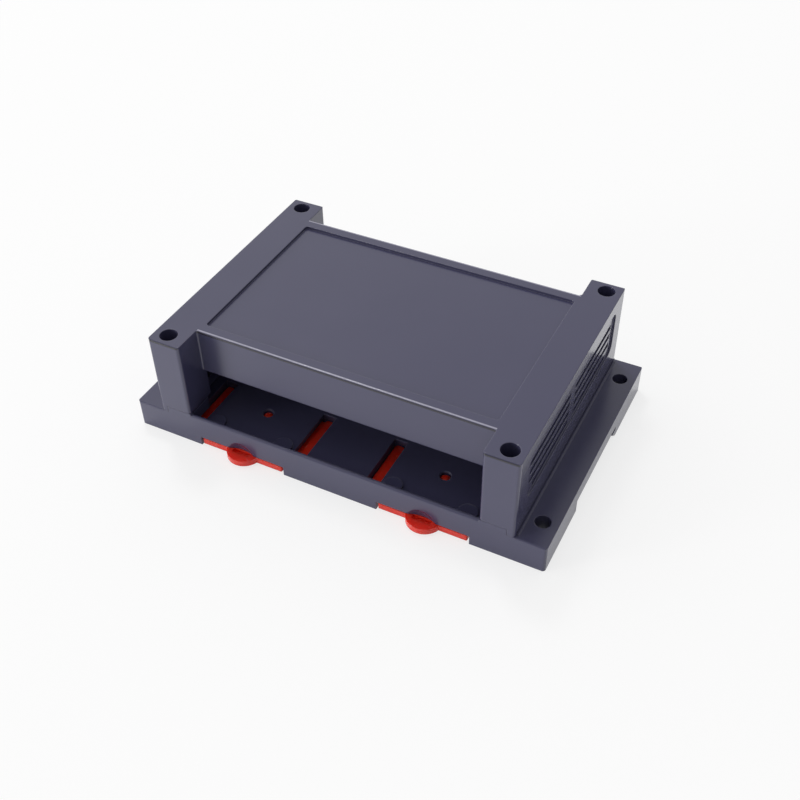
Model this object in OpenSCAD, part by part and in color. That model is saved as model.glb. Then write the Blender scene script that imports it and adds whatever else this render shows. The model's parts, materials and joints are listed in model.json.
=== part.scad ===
// Enclosure for a 35 mm rail: a low moulded tray with a mounting flange at each end,
// a bridge-shaped cover screwed down through four corner towers, open terminal bays
// along both long sides and two sliding clips that lock the tray on the rail.
// Origin: centre of the four panel holes, on the underside plane. +X runs along the
// rail, -Y faces the clip tabs, +Z points up through the deck. Millimetres.

/* [Overall size] */
// Length over the two mounting flanges
body_len = 145; // [142:1:200]
// Depth over the two terminal sides
body_wid = 90; // [84:1:120]
// Height from the underside to the deck
body_ht = 40; // [38:1:60]
// Radius of the upright outer corners
corner_r = 1; // [0.5:0.1:2]

/* [Tray] */
// Width of each mounting flange
flange_w = 10; // [9.5:0.5:11]
// Height of the flange top
flange_ht = 10; // [9:0.5:11]
// Thickness of the floor, the flange top and the channel walls
skin_t = 2; // [1.6:0.1:2.4]
// Thickness of the front and rear rims
rim_t = 1.6; // [1.4:0.1:2]
// Height of the rounded front and rear rims
rim_ht = 11.9; // [11:0.1:12.2]
// Step up from the rims to the seats of the cover towers
seat_step = 0.5; // [0.4:0.1:1.6]
// Thickness of the stiffening ribs
rib_t = 1.6; // [1.2:0.1:2]
// Diameter of the round support pads on the floor
pad_d = 6.4; // [4:0.2:7]
// Height of the support pads
pad_ht = 1; // [0.5:0.1:2]
// Distance of the support pads from the long sides
pad_side = 5.5; // [5.2:0.1:8]
// Height of the sealing lip along each cover foot
lip_ht = 0.45; // [0.2:0.05:1]

/* [Panel holes] */
// Diameter of the four panel holes
hole_d = 5; // [4:0.1:5.5]
// Wall of the boss round each hole
hole_wall = 2; // [1.6:0.1:2.4]
// Distance of the holes from the ends
hole_end = 5; // [4.5:0.1:5.5]
// Distance of the holes from the long sides
hole_side = 9.5; // [8:0.5:14]

/* [Rail channel] */
// Width of the rail
rail_w = 35; // [34:0.5:36]
// Clearance on each side of the rail
rail_gap = 0.8; // [0.4:0.1:1.2]
// Depth of the channel, from the underside to its roof
chan_ht = 4.5; // [4.4:0.1:5]
// Reach of the fixed hook under the rail edge
hook_reach = 2.9; // [2:0.1:3.2]
// Height of the slot above the fixed hook
hook_slot = 1.3; // [1.2:0.1:1.6]

/* [Rail clips] */
// Distance between the two clip centres
clip_pitch = 65; // [60:0.5:66]
// Travel of a clip when its tab is levered outwards
clip_travel = 4.6; // [3:0.1:5]
// Thickness of the clip plate
clip_t = 2.1; // [1.8:0.1:2.2]
// Height of the plate above the underside
clip_lift = 1; // [0.9:0.1:1.1]
// Width over the shoulders that run in the guides
clip_w = 42.6; // [42:0.1:43]
// Width of the notch in the rim
notch_w = 31.5; // [31:0.1:32]
// Clearance between the notch and the bar of the clip, at each end
bar_gap = 0.7; // [0.4:0.1:1.2]
// Clearance between clip and guides
slide_gap = 0.3; // [0.2:0.05:0.4]
// Reach of the nose under the rail edge
nose_reach = 3.4; // [2.5:0.1:3.8]
// Length of the bevel under the nose
bevel_l = 1.8; // [1:0.1:2.2]
// Radius of the rounded tab
tab_r = 6; // [5:0.1:7]
// How far the tab stands out of the rim
tab_out = 3.9; // [3.5:0.1:5]
// Width of the lever pocket in the tab
lever_w = 6.6; // [5:0.1:7]
// Length of the lever pocket along the travel
lever_l = 1.6; // [1.2:0.1:2.4]
// Depth of the lever pocket
lever_dp = 1.3; // [0.8:0.1:1.6]
// How far the lever pocket reaches out of the rim
lever_out = 0.7; // [0.5:0.1:1.2]
// Width of the thumb scoop above the tab
scoop_w = 9.6; // [7:0.2:12]
// Depth of the thumb scoop
scoop_dp = 1.2; // [0.6:0.1:1.4]
// Width of the raised runners on the shoulders
runner_w = 3.1; // [2.4:0.1:3.6]
// Distance of a runner from the side of the clip
runner_in = 0.3; // [0.2:0.1:1]
// Diameter of the detent button
button_d = 3; // [2.6:0.1:3.6]
// Radius of the domed top of the button
dome_r = 2.2; // [2:0.1:4]
// Distance of the button from the front face
button_back = 16.9; // [15:0.1:17]
// Width of the tongue that carries the button
tongue_w = 6.8; // [6:0.2:9]
// Width of the slit round the tongue
slit_w = 0.8; // [0.6:0.1:1]

/* [Cover] */
// Thickness of the deck
deck_t = 2.4; // [2:0.1:3]
// Thickness of the side walls
side_t = 2.5; // [2.2:0.1:3]
// Thickness of the deck walls and the tower walls
wall_t = 1.8; // [1.5:0.1:2]
// Length of a tower along the rail
tower_l = 11.5; // [11:0.1:13]
// Depth of a tower towards the terminals
tower_w = 10; // [9.5:0.1:12]
// Height of the lower edge of the deck walls
wire_ht = 24; // [20:0.5:28]
// Radius of the round along the front and rear edges of deck, towers and flanges
edge_r = 0.5; // [0.2:0.1:0.8]
// Radius of the fillet between tower and deck wall
fillet_r = 0.6; // [0.3:0.1:1.5]
// Length of the label recess
label_l = 100; // [60:1:110]
// Width of the label recess
label_w = 62.4; // [40:0.2:64]
// Depth of the label recess
label_dp = 0.9; // [0.3:0.1:1.2]

/* [Side vents] */
// Half length of the vent recess
vent_half = 37.6; // [30:0.2:38]
// Depth of the vent recess
vent_dp = 0.6; // [0.3:0.1:1.4]
// Height of the lower edge of the recess
vent_low = 19; // [17:0.5:20]
// Distance of the upper edge of the recess from the deck
vent_top = 4.3; // [4:0.1:6]
// Corner radius of the recess
vent_r = 3; // [2:0.1:4]
// Number of slot rows
vent_rows = 4; // [3:1:4]
// Distance between slot rows
vent_pitch = 3.6; // [3:0.1:3.8]
// Height of a slot
slot_ht = 2; // [1.2:0.1:2.2]
// Margin at the end of the slots, inside the recess
slot_end = 2.6; // [2:0.1:6]
// Margin at the end of the lowest slot, clear of the corner radius
low_end = 5.3; // [4.5:0.1:8]
// Width of the web between the two groups of slots
web_w = 3.7; // [2:0.1:6]

/* [Cover screws] */
// Diameter of the screw head
head_d = 5.5; // [5:0.1:5.5]
// Height of the screw head
head_ht = 2.1; // [1.8:0.1:2.4]
// Clearance round the head in the deep bore of each tower
head_gap = 0.15; // [0.1:0.05:0.25]
// Wall of the screw tube in a tower
tube_wall = 1.4; // [1:0.1:1.6]
// Thread diameter of the screws
screw_d = 2.9; // [2.5:0.1:3]
// Length of the screws under the head
screw_len = 9.5; // [8:0.5:9.5]
// Wall of the post that takes a screw
post_wall = 1.85; // [1.5:0.05:2]
// Distance of the bore from the side of the cover
bore_x = 5; // [4.9:0.1:5.2]
// Distance of the bore from the front of the tower
bore_y = 4.4; // [4.3:0.1:4.8]
// Material under the screw head
seat_t = 3; // [2:0.1:4]

/* [Hidden] */
$fn = 28;
eps = 0.1;

// Body
hx = body_len / 2;
hy = body_wid / 2;
cx = hx - flange_w;                 // half length of the cover
dy = hy - tower_w;                  // half depth of the deck
tx = cx - tower_l;                  // inner face of a tower
ix = cx - side_t;                   // inner face of a side wall
web_x = ix - skin_t;                // inner face of the end web
fit_gap = 0.1;                      // play between the cover's feet and the tray
seat_ht = rim_ht + seat_step;
floor_top = chan_ht + skin_t;

// Rail channel
chan_h = rail_w / 2 + rail_gap;     // half width of the channel
wall_y = chan_h + skin_t;           // outer face of a channel wall
hook_z = chan_ht - hook_slot;       // top of the fixed hook
hook_edge = 0.3;                    // upright edge at the tip of the hook
hook_lead = 0.7;                    // how far the hook's sloped face reaches past the channel

// Clips and their guides
clip_c = clip_pitch / 2;
clip_top = clip_lift + clip_t;
bar_w = notch_w - 2 * bar_gap;
nose_y = chan_h - nose_reach;       // tip of the nose at rest
nose_gap = 0.5;                     // play of the nose in the channel wall
guide_x = clip_w / 2 + slide_gap;   // inner face of a clip guide
guide_t = 1.6;
shelf_w = 2;                        // width of the shelf that carries a shoulder
lift_gap = 0.1;                     // play above and below sliding faces
stop_gap = 0.2;                     // space left behind the rim at full travel
should_f = hy - rim_t - clip_travel - stop_gap;  // front edge of the shoulders
should_r = wall_y + slide_gap;      // rear edge of the shoulders
runner_x = clip_w / 2 - runner_in - runner_w;    // inner side of a runner
runner_top = chan_ht - slide_gap;
win_x = runner_x - 1;               // inner side of the core opening above a runner
win_y = hy - rim_t - 1.9;           // front end of that opening
pad_x = win_x - 1 - pad_d / 2;
button_y = hy - button_back;
button_gap = 0.15;                  // play of the button in its detent hole
groove_skin = 0.4;                  // floor left above the button's groove
hole_lead = 0.4;                    // chamfer round the detent hole
groove_top = floor_top - groove_skin;
button_top = groove_top - lift_gap;
tab_cy = hy + tab_out - tab_r;      // centre of the tab radius
scoop_r = (pow(scoop_w / 2, 2) + pow(scoop_dp, 2)) / (2 * scoop_dp);
scoop_z = clip_top - 0.9;

// Cover screws
bore_d = head_d + 2 * head_gap;
tube_d = bore_d + 2 * tube_wall;
post_d = screw_d + 2 * post_wall;
pilot_d = screw_d + 0.04;           // close plain bore in place of a cut thread
screw_x = cx - bore_x;
screw_y = hy - bore_y;
seat_z = seat_ht + seat_t;          // underside of the screw heads
tip_l = 1.5;                        // length of the screw's cone point
cross_w = 0.7;                      // width of the cross recess
cross_l = 3.2;
cross_dp = 1.3;

plastic = [0.36, 0.36, 0.41];
red = [0.87, 0.13, 0.08];
steel = [0.74, 0.74, 0.76];

// Plan rectangle with rounded corners
module rounded(x0, x1, y0, y1, r) {
    translate([x0 + r, y0]) square([x1 - x0 - 2 * r, y1 - y0]);
    translate([x0, y0 + r]) square([x1 - x0, y1 - y0 - 2 * r]);
    for (x = [x0 + r, x1 - r], y = [y0 + r, y1 - r]) translate([x, y]) circle(r);
}

// What a radius takes off, or fills in, at a square corner that points to +X +Y
module corner_web(r) {
    difference() {
        square(r);
        circle(r);
    }
}

// Rectangular block between two corners
module block(a, b) {
    translate(a) cube(b - a);
}

// Extrudes a Y-Z profile along X, from x0 to x1
module along_x(x0, x1) {
    translate([x0, 0, 0]) rotate([90, 0, 90]) linear_extrude(x1 - x0) children();
}

// Extrudes an X-Z profile along Y, from y0 to y1
module along_y(y0, y1) {
    translate([0, y1, 0]) rotate([90, 0, 0]) linear_extrude(y1 - y0) children();
}

// What the round takes off a top edge that runs along X, on both sides
module edge_round(x0, x1, y, z) {
    both_sides() along_x(x0, x1) translate([y - edge_r, z - edge_r]) corner_web(edge_r);
}

// Repeats its children at both ends, both sides, all four corners, or at both clips
module both_ends() { for (m = [0, 1]) mirror([m, 0, 0]) children(); }
module both_sides() { for (m = [0, 1]) mirror([0, m, 0]) children(); }
module corners() { both_ends() both_sides() children(); }
module both_clips() { for (s = [-1, 1]) translate([s * clip_c, 0, 0]) children(); }

// Open shape of the rail channel with the undercut above the fixed hook
module channel_void() {
    tip = chan_h - hook_reach;
    polygon([[-chan_h, -1], [-chan_h, chan_ht], [chan_h, chan_ht], [chan_h, hook_z],
        [tip, hook_z], [tip, hook_z - hook_edge], [chan_h + hook_lead, 0], [chan_h + hook_lead, -1]]);
}

// Section of the tray across the rail: rims with round tops, floor and channel walls
module tray_section() {
    difference() {
        union() {
            translate([-hy + rim_t / 2, chan_ht]) square([body_wid - rim_t, skin_t]);
            translate([-wall_y, 0]) square([2 * wall_y, floor_top]);
            for (s = [-1, 1]) translate([s * (hy - rim_t / 2), 0]) {
                translate([-rim_t / 2, 0]) square([rim_t, rim_ht - rim_t / 2]);
                translate([0, rim_ht - rim_t / 2]) circle(d = rim_t);
            }
        }
        channel_void();
    }
}

// End flange: hollow from below, with the web that closes the tray
module end_flange() {
    px0 = web_x + skin_t;
    px1 = hx - skin_t;
    difference() {
        linear_extrude(flange_ht) {
            rounded(web_x + 3, hx, -hy, hy, corner_r);
            translate([web_x, -hy]) square([5, body_wid]);
        }
        both_sides() translate([0, 0, -1]) linear_extrude(flange_ht - skin_t + 1)
            rounded(px0, px1, wall_y, hy - skin_t, 0.8);
        block([px0, -chan_h, chan_ht - eps], [px1, chan_h, flange_ht - skin_t]);
        along_x(web_x - 1, hx + 1) channel_void();
        edge_round(cx + fit_gap, hx + 1, hy, flange_ht);
    }
    both_sides() translate([hx - hole_end, hy - hole_side, 0])
        cylinder(d = hole_d + 2 * hole_wall, h = flange_ht - skin_t + eps);
    // sealing lip beside the foot of the cover
    both_sides() along_x(cx + 0.05, cx + 0.7)
        translate([0, flange_ht - eps]) square([hy - 1.5, lip_ht + eps]);
}

// Seat for one tower: raised rim, inner wall and screw post with its rib
module tower_seat() {
    foot_x = ix - fit_gap;
    difference() {
        union() {
            translate([screw_x, screw_y, chan_ht]) cylinder(d = post_d, h = seat_ht - chan_ht);
            block([screw_x - rib_t / 2, dy + 1, floor_top - eps],
                [screw_x + rib_t / 2, hy - 1, rim_ht - 0.7]);
        }
        block([foot_x, 0, flange_ht], [hx, hy + 1, body_ht]);
    }
    block([tx, hy - rim_t, flange_ht - 1], [foot_x, hy, seat_ht - fit_gap / 2]);
    block([tx, dy, floor_top - eps], [tx + rim_t, hy - eps, rim_ht + fit_gap]);
}

// Guides under the floor for one clip: an L-shaped rail on each side of the plate
module clip_guides() {
    shelf_ht = clip_lift - lift_gap;
    both_ends() along_y(-hy + rim_t - eps, -wall_y + eps)
        polygon([[guide_x, 0], [guide_x + guide_t, 0], [guide_x + guide_t, chan_ht + eps],
            [guide_x, chan_ht + eps], [guide_x, shelf_ht], [guide_x - shelf_w, shelf_ht],
            [guide_x - shelf_w, 0]]);
}

// Openings that one clip needs in the tray
module clip_openings() {
    // notch through the rim, and the way through the channel wall for the nose
    block([-notch_w / 2, -hy - 1, -1], [notch_w / 2, -hy + rim_t + eps, clip_top + slide_gap]);
    block([-bar_w / 2 - nose_gap, -wall_y - eps, -1], [bar_w / 2 + nose_gap, -chan_h + eps, chan_ht]);
    // round scoop above the tab
    translate([0, -hy - scoop_r + scoop_dp, scoop_z]) sphere(scoop_r);
    // core openings in the floor above the runners
    both_ends() translate([0, 0, chan_ht - 1]) linear_extrude(skin_t + 2)
        rounded(win_x, guide_x, -win_y, -wall_y, 0.3);
    // blind groove in which the button travels, with its detent hole
    groove_r = button_d / 2 + slide_gap;
    translate([0, 0, chan_ht - 1]) linear_extrude(groove_top - chan_ht + 1) {
        translate([-groove_r, -button_y - clip_travel]) square([2 * groove_r, clip_travel]);
        for (y = [0, clip_travel]) translate([0, -button_y - y]) circle(groove_r);
    }
    hole_r = button_d / 2 + button_gap;
    translate([0, -button_y, chan_ht]) cylinder(r = hole_r, h = skin_t + 1);
    translate([0, -button_y, groove_top])
        cylinder(r1 = hole_r, r2 = hole_r + 2 * hole_lead, h = 2 * hole_lead);
}

// One-piece moulded tray
module base_tray() {
    color(plastic) difference() {
        union() {
            along_x(-web_x - eps, web_x + eps) tray_section();
            both_ends() end_flange();
            corners() tower_seat();
            both_clips() {
                clip_guides();
                corners() translate([pad_x, hy - pad_side, floor_top - eps])
                    cylinder(d = pad_d, h = pad_ht + eps);
            }
            // stiffening ribs under the rear half of the floor and on the centre line
            for (x = [-clip_c, 0, clip_c]) block([x - rib_t / 2, wall_y - 1, 0],
                [x + rib_t / 2, hy - rim_t / 2, chan_ht + eps]);
            block([-rib_t / 2, -hy + rim_t / 2, 0], [rib_t / 2, -wall_y + 1, chan_ht + eps]);
        }
        both_clips() clip_openings();
        corners() {
            translate([hx - hole_end, hy - hole_side, -1]) cylinder(d = hole_d, h = flange_ht + 2);
            translate([screw_x, screw_y, seat_z - screw_len - 0.4])
                cylinder(d = pilot_d, h = screw_len);
        }
    }
}

// H-shaped plan of the cover: the deck between two pairs of towers
module cover_plan() {
    root = 4;                       // how far a tower's plan reaches into the deck
    translate([-cx, -dy]) square([2 * cx, 2 * dy]);
    corners() {
        rounded(tx, cx, dy - root, hy, corner_r);
        translate([tx - fillet_r, dy + fillet_r]) mirror([0, 1]) corner_web(fillet_r);
    }
}

// Vent slot with round ends in the Y-Z plane, from y0 to y1 at height z
module vent_slot(y0, y1, z) {
    translate([y0 + slot_ht / 2, z - slot_ht / 2]) square([y1 - y0 - slot_ht, slot_ht]);
    for (y = [y0 + slot_ht / 2, y1 - slot_ht / 2]) translate([y, z]) circle(d = slot_ht);
}

// Recess with rows of slots in one side wall
module side_vent() {
    first = vent_low + 0.15 + slot_ht / 2;
    along_x(cx - vent_dp, cx + 1)
        rounded(-vent_half, vent_half, vent_low, body_ht - vent_top, vent_r);
    for (i = [0 : vent_rows - 1]) both_sides() along_x(ix - 1, cx - vent_dp + eps)
        vent_slot(web_w / 2, vent_half - (i == 0 ? low_end : slot_end), first + i * vent_pitch);
}

// One-piece moulded cover
module top_cover() {
    color(plastic) difference() {
        union() {
            difference() {
                translate([0, 0, flange_ht]) linear_extrude(body_ht - flange_ht) cover_plan();
                // the inside, open below, and the wire openings under the deck walls
                block([-ix, -dy + wall_t, 0], [ix, dy - wall_t, body_ht - deck_t]);
                block([-tx, -hy, 0], [tx, hy, wire_ht]);
                // towers: stepped foot that sits in the tray, hollow towards the inside
                both_sides() block([-ix, dy - wall_t - eps, 0], [ix, hy + 1, seat_ht]);
                corners() block([tx + wall_t, dy - wall_t - eps, seat_z],
                    [ix, hy - wall_t, body_ht - deck_t]);
            }
            corners() translate([screw_x, screw_y, seat_ht])
                cylinder(d = tube_d, h = body_ht - seat_ht - 1);
        }
        corners() {
            translate([screw_x, screw_y, seat_z]) cylinder(d = bore_d, h = body_ht);
            translate([screw_x, screw_y, seat_ht - 1]) cylinder(d = screw_d + 0.5, h = seat_t + 2);
        }
        // rounded long edges of deck and towers, and the label recess
        edge_round(-tx + fillet_r, tx - fillet_r, dy, body_ht);
        both_ends() edge_round(tx - 1, cx + 1, hy, body_ht);
        translate([0, 0, body_ht - label_dp]) linear_extrude(label_dp + 1)
            rounded(-label_l / 2, label_l / 2, -label_w / 2, label_w / 2, 1);
        both_ends() side_vent();
    }
}

// Outline of the clip seen from above
module clip_plan() {
    difference() {
        union() {
            rounded(-bar_w / 2, bar_w / 2, -hy, -should_f + 3, 0.4);
            rounded(-clip_w / 2, clip_w / 2, -should_f, -should_r, 1);
            rounded(-bar_w / 2, bar_w / 2, -should_r - 3, -nose_y, 0.6);
            intersection() {
                translate([0, -tab_cy]) circle(tab_r);
                translate([-tab_r, -hy - tab_r]) square([2 * tab_r, tab_r + 1]);
            }
        }
        // slit that frees the tongue with the button
        in_x = tongue_w / 2;
        out_x = in_x + slit_w;
        difference() {
            rounded(-out_x, out_x, -button_y - in_x - slit_w, -button_y + 5, 0.5);
            rounded(-in_x, in_x, -button_y - in_x, -button_y + 6, 0.4);
        }
    }
}

// Clip moulding: plate, runners, detent button and bevelled nose
module rail_clip() {
    color(red) difference() {
        union() {
            translate([0, 0, clip_lift]) linear_extrude(clip_t) clip_plan();
            both_ends() translate([0, 0, clip_top - eps]) linear_extrude(runner_top - clip_top + eps)
                rounded(runner_x, runner_x + runner_w, -should_f, -should_r, 1);
            translate([0, -button_y, 0]) intersection() {
                translate([0, 0, clip_top - eps]) cylinder(d = button_d, h = button_top - clip_top + eps);
                translate([0, 0, button_top - dome_r]) sphere(dome_r);
            }
        }
        // lever pocket, and the bevel under the nose
        translate([0, 0, clip_top - lever_dp]) linear_extrude(lever_dp + 1)
            rounded(-lever_w / 2, lever_w / 2, -hy - lever_out, -hy - lever_out + lever_l, 0.5);
        along_x(-bar_w, bar_w) polygon([[-nose_y + 1, clip_lift - 1], [-nose_y + 1, clip_top],
            [-nose_y, clip_top - 0.5], [-nose_y - bevel_l, clip_lift - 0.01],
            [-nose_y - bevel_l, clip_lift - 1]]);
    }
}

// Self-tapping screw with a pan head and a cross recess, head up at the seat
module cover_screw() {
    $fn = 20;
    head_r = head_d / 2;
    edge = min(1, 0.45 * head_ht);
    color(steel) difference() {
        union() {
            rotate_extrude() {
                square([head_r - edge, head_ht]);
                square([head_r, head_ht - edge]);
                translate([head_r - edge, head_ht - edge]) circle(edge);
            }
            translate([0, 0, -screw_len + tip_l]) cylinder(d = screw_d, h = screw_len - tip_l + eps);
            translate([0, 0, -screw_len]) cylinder(d1 = 0.8, d2 = screw_d, h = tip_l);
        }
        for (a = [0, 90]) rotate([0, 0, a])
            block([-cross_l / 2, -cross_w / 2, head_ht - cross_dp],
                [cross_l / 2, cross_w / 2, head_ht + 1]);
    }
}

base_tray();
top_cover();
translate([-clip_c, 0, 0]) rail_clip();  // rail_clip_left
translate([clip_c, 0, 0]) rail_clip();  // rail_clip_right
translate([-screw_x, -screw_y, seat_z]) cover_screw();  // cover_screw_front_left
translate([screw_x, -screw_y, seat_z]) cover_screw();  // cover_screw_front_right
translate([-screw_x, screw_y, seat_z]) cover_screw();  // cover_screw_rear_left
translate([screw_x, screw_y, seat_z]) cover_screw();  // cover_screw_rear_right
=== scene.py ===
"""Finishes, studio and camera for the rail enclosure.

The case is satin blue-grey ABS, its clips are glossy red and its screws are zinc-plated.
"""
import json
import math

import bpy
from mathutils import Matrix, Vector

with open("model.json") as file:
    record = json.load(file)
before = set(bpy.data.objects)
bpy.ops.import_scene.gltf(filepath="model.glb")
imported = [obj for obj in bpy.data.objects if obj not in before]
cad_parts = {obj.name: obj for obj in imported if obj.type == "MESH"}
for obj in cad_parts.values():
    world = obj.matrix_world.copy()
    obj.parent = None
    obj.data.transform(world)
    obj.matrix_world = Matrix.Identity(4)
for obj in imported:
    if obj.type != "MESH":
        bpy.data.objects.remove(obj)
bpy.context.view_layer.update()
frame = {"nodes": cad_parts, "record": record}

MM = 0.001

# Camera: where the photograph was taken from, in degrees and metres
AZIMUTH = 27.54
ELEVATION = 42.27
ROLL = -0.98
DISTANCE = 0.3695
AIM_RIGHT = 2.02 * MM
AIM_UP = 1.80 * MM
FOCAL_MM = 48.43
SENSOR_MM = 36.0

# The case's long top edges, in mm from the middle of the case and from its underside
CASE_TOP = 40.0
EDGE_ROUND = 0.5
DECK_HALF_DEPTH = 35.0
DECK_HALF_LENGTH = 50.9
TOWER_HALF_DEPTH = 45.0
TOWER_REACH = 63.0

# The floor's half width in metres, and where it starts and ends to run into the backdrop
FLOOR_REACH = 6.0
FADE_START = 0.5
FADE_END = 3.0

# The light tent's bright side, and its levels opposite that side and on it
TENT_BRIGHT_SIDE = (-0.87, 0.46, 0.2)
TENT_DARKEST = 0.11
TENT_BRIGHTEST = 1.02

# Which nodes have which finish, from the record's material slots
SLOT_OF = {part["node"]: part["material_slot"] for part in frame["record"]["subparts"]}


def colour(hex_code):
    """Linear RGBA of an sRGB hex colour."""
    channels = [int(hex_code[i:i + 2], 16) / 255 for i in (1, 3, 5)]
    return (*[c / 12.92 if c <= 0.04045 else ((c + 0.055) / 1.055) ** 2.4 for c in channels], 1.0)


def add(tree, kind, values=None, links=None, **settings):
    """Adds one node with its settings, the values of its inputs and the links into them."""
    made = tree.nodes.new(kind)
    for name, value in settings.items():
        setattr(made, name, value)
    for socket, value in (values or {}).items():
        made.inputs[socket].default_value = value
    for socket, source in (links or {}).items():
        tree.links.new(source, made.inputs[socket])
    return made


def new_material(name):
    """An empty material and its node tree."""
    material = bpy.data.materials.new(name)
    material.use_nodes = True
    material.node_tree.nodes.clear()
    return material, material.node_tree


def line_along(tree, place, y, z, reach, outer, inner):
    """Mask of a line along X, from -reach to reach, both at -y and at y; sizes in mm.

    It is 1 up to the inner distance from the line and 0 from the outer distance on.
    """
    across = add(tree, "ShaderNodeVectorMath", None, {0: place}, operation="ABSOLUTE")
    off = add(tree, "ShaderNodeVectorMath", {1: (0, y * MM, z * MM)},
              {0: across.outputs["Vector"]}, operation="SUBTRACT")
    radial = add(tree, "ShaderNodeVectorMath", {1: (0, 1, 1)},
                 {0: off.outputs["Vector"]}, operation="MULTIPLY")
    away = add(tree, "ShaderNodeVectorMath", None,
               {0: radial.outputs["Vector"]}, operation="LENGTH")
    near = add(tree, "ShaderNodeMapRange", {"From Min": outer * MM, "From Max": inner * MM},
               {"Value": away.outputs["Value"]})
    along = add(tree, "ShaderNodeSeparateXYZ", None, {0: across.outputs["Vector"]})
    within = add(tree, "ShaderNodeMath", {1: reach * MM},
                 {0: along.outputs["X"]}, operation="LESS_THAN")
    mask = add(tree, "ShaderNodeMath", None,
               {0: near.outputs["Result"], 1: within.outputs[0]}, operation="MULTIPLY")
    return mask.outputs[0]


def satin_abs():
    """ABS from a spark-eroded mould: satin, with a fine even grain, rounded edges painted lighter
    as wear and as a painted highlight, and painted light and dark lines along the long top edges.
    """
    material, tree = new_material("satin blue-grey ABS")
    place = add(tree, "ShaderNodeTexCoord").outputs["Object"]
    # rounded edges of about 0.4 mm, which catch the light as thin bright lines
    edge = add(tree, "ShaderNodeBevel", {"Radius": 0.4 * MM}, samples=6)
    flat = add(tree, "ShaderNodeNewGeometry")
    facing = add(tree, "ShaderNodeVectorMath", None,
                 {0: edge.outputs["Normal"], 1: flat.outputs["Normal"]}, operation="DOT_PRODUCT")
    # the rounded edges, convex and concave, are painted lighter: partly wear, partly a painted
    # highlight
    rubbed_and_lit_edges = add(tree, "ShaderNodeMapRange", {"From Min": 0.995, "From Max": 0.8},
                 {"Value": facing.outputs["Value"]})
    # slow change of tone where the melt flowed, about 25 mm across
    flow = add(tree, "ShaderNodeTexNoise", {"Scale": 1 / (25 * MM), "Detail": 3.0},
               {"Vector": place})
    tone = add(tree, "ShaderNodeMix", {6: colour("#454460"), 7: colour("#494864")},
               {0: flow.outputs["Fac"]}, data_type="RGBA")
    # painted highlight: a light line about 0.5 mm wide along the two long edges of the deck
    painted_highlight_line = line_along(tree, place, DECK_HALF_DEPTH - EDGE_ROUND, CASE_TOP,
                          DECK_HALF_LENGTH, 0.4, 0.15)
    # painted dark reflection: a dark line on the lower half of the rounded edges, on the deck,
    # then on the towers
    painted_dark_deck_line = line_along(tree, place, DECK_HALF_DEPTH, CASE_TOP - 1.1 * EDGE_ROUND,
                           DECK_HALF_LENGTH, 0.5, 0.2)
    painted_dark_tower_line = line_along(tree, place, TOWER_HALF_DEPTH, CASE_TOP - EDGE_ROUND,
                             TOWER_REACH, 0.5, 0.2)
    painted_dark_lines = add(tree, "ShaderNodeMath", None, {0: painted_dark_deck_line, 1: painted_dark_tower_line}, operation="MAXIMUM")
    # painted highlight and wear: the lighter colour on the rounded edges
    wear_and_edge_highlight = add(tree, "ShaderNodeMix", {7: colour("#5C5B73")},
               {0: rubbed_and_lit_edges.outputs["Result"], 6: tone.outputs[2]}, data_type="RGBA")
    with_painted_dark_lines = add(tree, "ShaderNodeMix", {7: colour("#24232F")},
                   {0: painted_dark_lines.outputs[0], 6: wear_and_edge_highlight.outputs[2]}, data_type="RGBA")
    skin = add(tree, "ShaderNodeMix", {7: colour("#A5A3B6")},
               {0: painted_highlight_line, 6: with_painted_dark_lines.outputs[2]}, data_type="RGBA")
    # the mould's grain is about 0.1 mm; drawn at 0.3 mm so that it shows
    grain = add(tree, "ShaderNodeTexNoise", {"Scale": 1 / (0.3 * MM), "Detail": 2.0},
                {"Vector": place})
    bump = add(tree, "ShaderNodeBump", {"Strength": 0.25, "Distance": 0.02 * MM},
               {"Height": grain.outputs["Fac"], "Normal": edge.outputs["Normal"]})
    gloss = add(tree, "ShaderNodeMapRange", {"To Min": 0.2, "To Max": 0.26},
                {"Value": flow.outputs["Fac"]})
    surface = add(tree, "ShaderNodeBsdfPrincipled", {"IOR": 1.53},
                  {"Base Color": skin.outputs[2], "Roughness": gloss.outputs["Result"],
                   "Normal": bump.outputs["Normal"]})
    add(tree, "ShaderNodeOutputMaterial", None, {"Surface": surface.outputs["BSDF"]})
    return material


def gloss_red():
    """Glossy red acetal, moulded: a little waxy inside, with faint flow marks."""
    material, tree = new_material("glossy red acetal")
    place = add(tree, "ShaderNodeTexCoord").outputs["Object"]
    edge = add(tree, "ShaderNodeBevel", {"Radius": 0.25 * MM}, samples=6)
    # flow marks of about 4 mm
    flow = add(tree, "ShaderNodeTexNoise", {"Scale": 1 / (4 * MM), "Detail": 2.0},
               {"Vector": place})
    tone = add(tree, "ShaderNodeMix", {6: colour("#F0301E"), 7: colour("#F73A26")},
               {0: flow.outputs["Fac"]}, data_type="RGBA")
    gloss = add(tree, "ShaderNodeMapRange", {"To Min": 0.2, "To Max": 0.32},
                {"Value": flow.outputs["Fac"]})
    ripple = add(tree, "ShaderNodeBump", {"Strength": 0.15, "Distance": 0.05 * MM},
                 {"Height": flow.outputs["Fac"], "Normal": edge.outputs["Normal"]})
    surface = add(tree, "ShaderNodeBsdfPrincipled",
                  {"IOR": 1.48, "Subsurface Weight": 0.7, "Subsurface Radius": (1.0, 0.3, 0.2),
                   "Subsurface Scale": 2.5 * MM},
                  {"Base Color": tone.outputs[2], "Roughness": gloss.outputs["Result"],
                   "Normal": ripple.outputs["Normal"]})
    add(tree, "ShaderNodeOutputMaterial", None, {"Surface": surface.outputs["BSDF"]})
    return material


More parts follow.
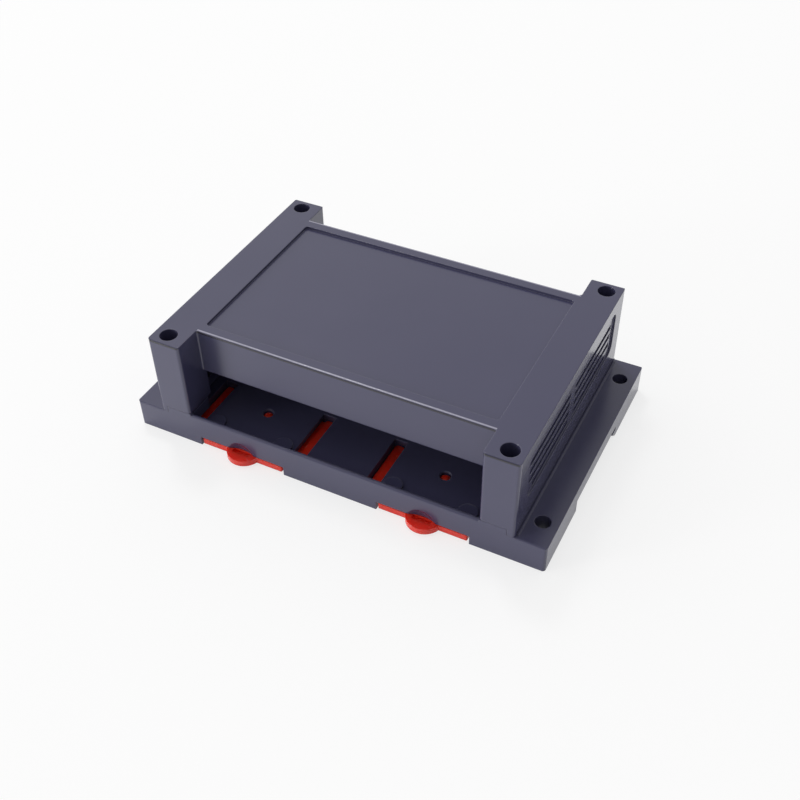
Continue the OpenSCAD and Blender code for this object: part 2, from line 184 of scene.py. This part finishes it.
def zinc_steel():
    """Bright zinc plating on steel: pale metal with a soft cloudy shine."""
    material, tree = new_material("zinc-plated steel")
    place = add(tree, "ShaderNodeTexCoord").outputs["Object"]
    edge = add(tree, "ShaderNodeBevel", {"Radius": 0.1 * MM}, samples=6)
    # clouding of the plating, about 0.8 mm
    cloud = add(tree, "ShaderNodeTexNoise", {"Scale": 1 / (0.8 * MM), "Detail": 3.0},
                {"Vector": place})
    tone = add(tree, "ShaderNodeMix", {6: colour("#B9BBC1"), 7: colour("#D3D4D6")},
               {0: cloud.outputs["Fac"]}, data_type="RGBA")
    gloss = add(tree, "ShaderNodeMapRange", {"To Min": 0.26, "To Max": 0.42},
                {"Value": cloud.outputs["Fac"]})
    surface = add(tree, "ShaderNodeBsdfPrincipled", {"Metallic": 1.0},
                  {"Base Color": tone.outputs[2], "Roughness": gloss.outputs["Result"],
                   "Normal": edge.outputs["Normal"]})
    add(tree, "ShaderNodeOutputMaterial", None, {"Surface": surface.outputs["BSDF"]})
    return material


def studio_paper():
    """Matt white paper that keeps a pale shadow of the object."""
    material, tree = new_material("matt white studio paper")
    place = add(tree, "ShaderNodeTexCoord").outputs["Object"]
    path = add(tree, "ShaderNodeLightPath")
    # fibres of about 2 mm
    fibre = add(tree, "ShaderNodeTexNoise", {"Scale": 1 / (2 * MM), "Detail": 2.0},
                {"Vector": place})
    tone = add(tree, "ShaderNodeMix", {6: colour("#FBFBFB"), 7: colour("#FDFDFD")},
               {0: fibre.outputs["Fac"]}, data_type="RGBA")
    # in the case's reflections it is as bright as the overexposed white of the photograph
    mirror = add(tree, "ShaderNodeMath", None,
                 {0: path.outputs["Is Glossy Ray"], 1: path.outputs["Is Transmission Ray"]},
                 operation="MAXIMUM")
    gain = add(tree, "ShaderNodeMapRange", {"To Min": 1.0, "To Max": 1.8},
               {"Value": mirror.outputs[0]})
    bright = add(tree, "ShaderNodeVectorMath", None,
                 {0: tone.outputs[2], "Scale": gain.outputs["Result"]}, operation="SCALE")
    paper = add(tree, "ShaderNodeBsdfDiffuse", None, {"Color": bright.outputs["Vector"]})
    # far from the case it runs into the white backdrop without a line
    reach = add(tree, "ShaderNodeVectorMath", None, {0: place}, operation="LENGTH")
    far = add(tree, "ShaderNodeMapRange", {"From Min": FADE_START, "From Max": FADE_END},
              {"Value": reach.outputs["Value"]})
    level = add(tree, "ShaderNodeMapRange", {"To Min": 1.08, "To Max": 1.0},
                {"Value": far.outputs["Result"]})
    glow = add(tree, "ShaderNodeEmission", {"Color": colour("#FCFCFC")},
               {"Strength": level.outputs["Result"]})
    # seen directly it is mostly its own white, so that the shadow stays as pale as in daylight
    mirror_share = add(tree, "ShaderNodeMath", {1: 0.35}, {0: mirror.outputs[0]},
                       operation="MULTIPLY")
    own_share = add(tree, "ShaderNodeMapRange", {"To Min": 0.7, "To Max": 1.0},
                    {"Value": far.outputs["Result"]})
    share = add(tree, "ShaderNodeMath", None,
                {0: path.outputs["Is Camera Ray"], 1: own_share.outputs["Result"],
                 2: mirror_share.outputs[0]}, operation="MULTIPLY_ADD")
    sheet = add(tree, "ShaderNodeMixShader", None,
                {0: share.outputs[0], 1: paper.outputs["BSDF"], 2: glow.outputs["Emission"]})
    add(tree, "ShaderNodeOutputMaterial", None, {"Surface": sheet.outputs["Shader"]})
    return material


def make_floor():
    """The sheet of paper that the case stands on."""
    mesh = bpy.data.meshes.new("studio_floor")
    corners = [(x * FLOOR_REACH, y * FLOOR_REACH, 0)
               for x, y in ((-1, -1), (1, -1), (1, 1), (-1, 1))]
    mesh.from_pydata(corners, [], [(0, 1, 2, 3)])
    floor = bpy.data.objects.new("studio_floor", mesh)
    floor.data.materials.append(studio_paper())
    bpy.context.scene.collection.objects.link(floor)


def make_world():
    """Surroundings as in a light tent: bright at the rear left, dark towards the front right."""
    world = bpy.data.worlds.new("light tent")
    bpy.context.scene.world = world
    world.use_nodes = True
    tree = world.node_tree
    tree.nodes.clear()
    sky = add(tree, "ShaderNodeTexCoord").outputs["Generated"]
    lean = add(tree, "ShaderNodeVectorMath", {1: TENT_BRIGHT_SIDE}, {0: sky},
               operation="DOT_PRODUCT")
    level = add(tree, "ShaderNodeMapRange",
                {"From Min": -1.0, "From Max": 1.0,
                 "To Min": TENT_DARKEST, "To Max": TENT_BRIGHTEST},
                {"Value": lean.outputs["Value"]})
    tent = add(tree, "ShaderNodeBackground", {"Color": colour("#FFFFFF")},
               {"Strength": level.outputs["Result"]})
    # the camera sees a plain white backdrop
    backdrop = add(tree, "ShaderNodeBackground", {"Color": colour("#FCFCFC"), "Strength": 1.0})
    path = add(tree, "ShaderNodeLightPath")
    seen = add(tree, "ShaderNodeMixShader", None,
               {0: path.outputs["Is Camera Ray"], 1: tent.outputs["Background"],
                2: backdrop.outputs["Background"]})
    add(tree, "ShaderNodeOutputWorld", None, {"Surface": seen.outputs["Shader"]})


def make_softbox(name, place, width, power):
    """A square soft light that faces the object; place and width in metres, power in watts."""
    light = bpy.data.lights.new(name, "AREA")
    light.shape = "SQUARE"
    light.size = width
    light.energy = power
    lamp = bpy.data.objects.new(name, light)
    lamp.location = place
    lamp.rotation_euler = (-Vector(place)).to_track_quat("-Z", "Y").to_euler()
    bpy.context.scene.collection.objects.link(lamp)


def make_camera():
    """The photograph's camera, from its azimuth, elevation, roll and distance."""
    azimuth, elevation, roll = (math.radians(a) for a in (AZIMUTH, ELEVATION, ROLL))
    back = Vector((math.sin(azimuth) * math.cos(elevation),
                   -math.cos(azimuth) * math.cos(elevation), math.sin(elevation)))
    level = (-back).cross(Vector((0, 0, 1))).normalized()
    right = Matrix.Rotation(roll, 3, back) @ level
    up = back.cross(right)
    data = bpy.data.cameras.new("photo_camera")
    data.lens = FOCAL_MM
    data.sensor_width = SENSOR_MM
    data.clip_start = 0.01
    camera = bpy.data.objects.new("photo_camera", data)
    turn = Matrix((right, up, back)).transposed().to_4x4()
    place = AIM_RIGHT * right + AIM_UP * up + DISTANCE * back
    camera.matrix_world = Matrix.Translation(place) @ turn
    bpy.context.scene.collection.objects.link(camera)
    bpy.context.scene.camera = camera


def finish_nodes():
    """Gives every moulded or plated piece the material of its slot."""
    made = {"case_plastic": satin_abs(), "clip_plastic": gloss_red(),
            "screw_steel": zinc_steel()}
    for name, piece in frame["nodes"].items():
        piece.data.materials.clear()
        piece.data.materials.append(made[SLOT_OF[name]])


make_camera()
finish_nodes()
make_floor()
make_world()
make_softbox("key softbox, upper rear left", place=(-0.78, 0.71, 1.70), width=0.35, power=6.5)
make_softbox("low fill softbox, front left", place=(-1.15, -1.09, 0.26), width=0.4, power=7.5)
bpy.context.scene.view_settings.view_transform = "Standard"
